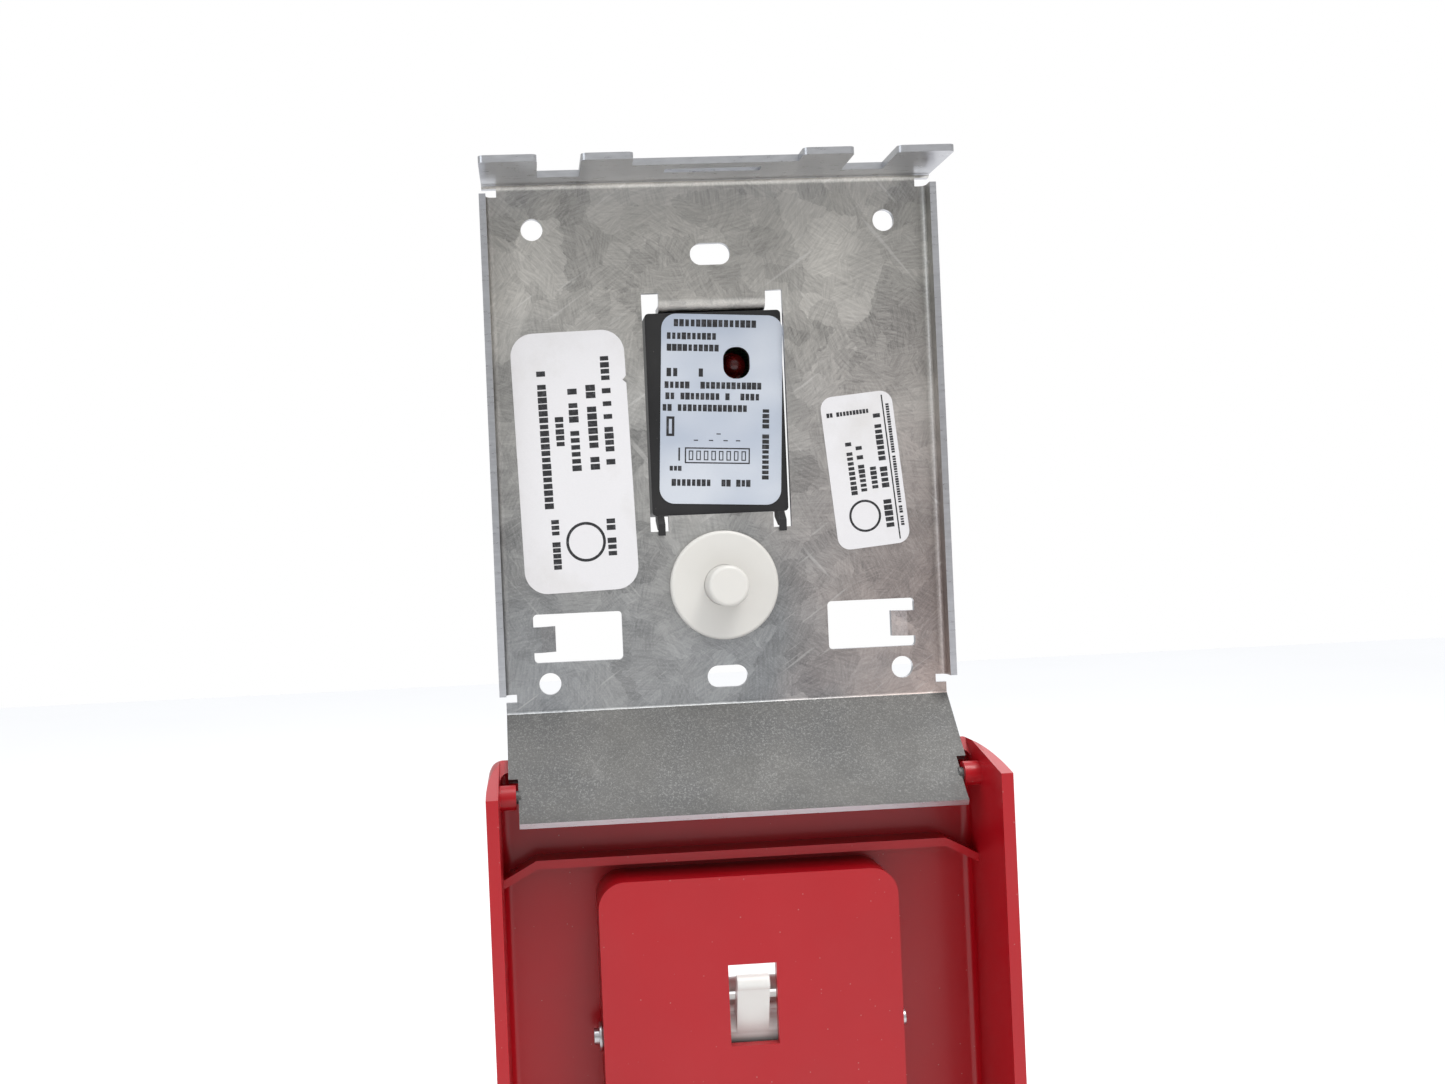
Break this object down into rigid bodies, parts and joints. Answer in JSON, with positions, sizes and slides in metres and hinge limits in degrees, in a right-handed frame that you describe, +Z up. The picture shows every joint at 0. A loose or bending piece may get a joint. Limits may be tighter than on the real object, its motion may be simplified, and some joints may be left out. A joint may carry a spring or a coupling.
{
  "type": "manual fire alarm station",
  "caption": "Wall-mounted manual fire alarm station: zinc-plated back plate with address module and alarm switch, and a hinged cover with a pull lever, push plate and key lock.",
  "frame": {"origin": "centre of the four box holes, on the back face of the back plate", "axes": "+X to the right seen from the front, +Y into the wall, +Z up; the station faces -Y"},
  "size_m": [0.095, 0.061, 0.2397],
  "materials": {
    "zinc": "zinc-plated sheet, dull and mottled",
    "paper": "white printed label",
    "silver_label": "silvery label",
    "black_plastic": "black moulded plastic",
    "board": "green circuit board",
    "led_red": "red lens",
    "blue_plastic": "blue moulded plastic",
    "green_plastic": "green moulded plastic",
    "steel": "bright steel",
    "brass_contact": "contact metal",
    "off_white": "off-white moulded plastic",
    "lead_red": "insulated lead",
    "red_plastic": "glossy red moulded plastic",
    "clear": "clear plastic",
    "chrome": "plated lock parts",
    "white_plastic": "white moulded plastic"
  },
  "bodies": {
    "station_back": {"back_plate": "zinc", "large_label": "paper", "small_label": "paper", "module_case": "black_plastic", "module_back": "black_plastic", "module_label": "silver_label", "circuit_board": "board", "status_led": "led_red", "dip_switch_body": "blue_plastic", "terminal_block": "green_plastic", "terminal_clamps": "steel", "terminal_screws": "steel", "switch_bezel": "off_white", "switch_nut": "off_white", "switch_case": "black_plastic", "switch_contacts": "brass_contact", "switch_leads": "lead_red", "switch_spring": "steel"},
    "alarm_plunger": {"switch_plunger": "off_white", "contact_bridge": "brass_contact"},
    "hinged_cover": {"cover": "red_plastic", "lock_barrel": "chrome", "lock_nut": "steel", "light_pipe": "clear", "lever_rod": "steel", "push_plate_rod": "steel", "rod_clips": "steel", "lever_spring": "steel", "push_plate_spring": "steel", "break_rod": "white_plastic", "catch_spring": "steel", "catch_screw": "steel"},
    "lock_core": {"lock_plug": "chrome", "lock_cam": "steel", "cam_screw": "steel"},
    "lever": {"pull_lever": "white_plastic", "lever_arrow": "red_plastic"},
    "pusher": {"push_plate": "white_plastic"},
    "slider_1": {"dip_slider_1": "white_plastic"},
    "slider_2": {"dip_slider_2": "white_plastic"},
    "slider_3": {"dip_slider_3": "white_plastic"},
    "slider_4": {"dip_slider_4": "white_plastic"},
    "slider_5": {"dip_slider_5": "white_plastic"},
    "slider_6": {"dip_slider_6": "white_plastic"},
    "slider_7": {"dip_slider_7": "white_plastic"},
    "slider_8": {"dip_slider_8": "white_plastic"}
  },
  "joints": [
    {"name": "cover_hinge", "type": "hinge", "parent": "station_back", "child": "hinged_cover", "pos_m": [0, -0.01495, -0.06388], "axis": [-1, 0, 0], "range_deg": [0, 180]},
    {"name": "lever_pull", "type": "hinge", "parent": "hinged_cover", "child": "lever", "pos_m": [0, -0.0129, -0.10977], "axis": [1, 0, 0], "range_deg": [0, 30], "stiffness_Nm_per_rad": 0.02, "springref_deg": -5.73, "deforming": ["lever_spring", "catch_spring", "break_rod"]},
    {"name": "push_plate_swing", "type": "hinge", "parent": "hinged_cover", "child": "pusher", "pos_m": [0, -0.0094, -0.13527], "axis": [1, 0, 0], "range_deg": [0, 30], "stiffness_Nm_per_rad": 0.01, "springref_deg": -8.59, "deforming": ["push_plate_spring"]},
    {"name": "lock_turn", "type": "hinge", "parent": "hinged_cover", "child": "lock_core", "pos_m": [0, -0.0299, -0.16477], "axis": [0, -1, 0], "range_deg": [0, 90]},
    {"name": "plunger_press", "type": "slide", "parent": "station_back", "child": "alarm_plunger", "axis": [0, 1, 0], "range_m": [0, 0.0042], "stiffness_N_per_m": 600, "springref_m": -0.002, "deforming": ["switch_spring"]},
    {"name": "slider_1_set", "type": "slide", "parent": "station_back", "child": "slider_1", "axis": [0, 0, 1], "range_m": [0, 0.0012]},
    {"name": "slider_2_set", "type": "slide", "parent": "station_back", "child": "slider_2", "axis": [0, 0, 1], "range_m": [0, 0.0012]},
    {"name": "slider_3_set", "type": "slide", "parent": "station_back", "child": "slider_3", "axis": [0, 0, 1], "range_m": [0, 0.0012]},
    {"name": "slider_4_set", "type": "slide", "parent": "station_back", "child": "slider_4", "axis": [0, 0, 1], "range_m": [0, 0.0012]},
    {"name": "slider_5_set", "type": "slide", "parent": "station_back", "child": "slider_5", "axis": [0, 0, 1], "range_m": [0, 0.0012]},
    {"name": "slider_6_set", "type": "slide", "parent": "station_back", "child": "slider_6", "axis": [0, 0, 1], "range_m": [0, 0.0012]},
    {"name": "slider_7_set", "type": "slide", "parent": "station_back", "child": "slider_7", "axis": [0, 0, 1], "range_m": [0, 0.0012]},
    {"name": "slider_8_set", "type": "slide", "parent": "station_back", "child": "slider_8", "axis": [0, 0, 1], "range_m": [0, 0.0012]}
  ]
}
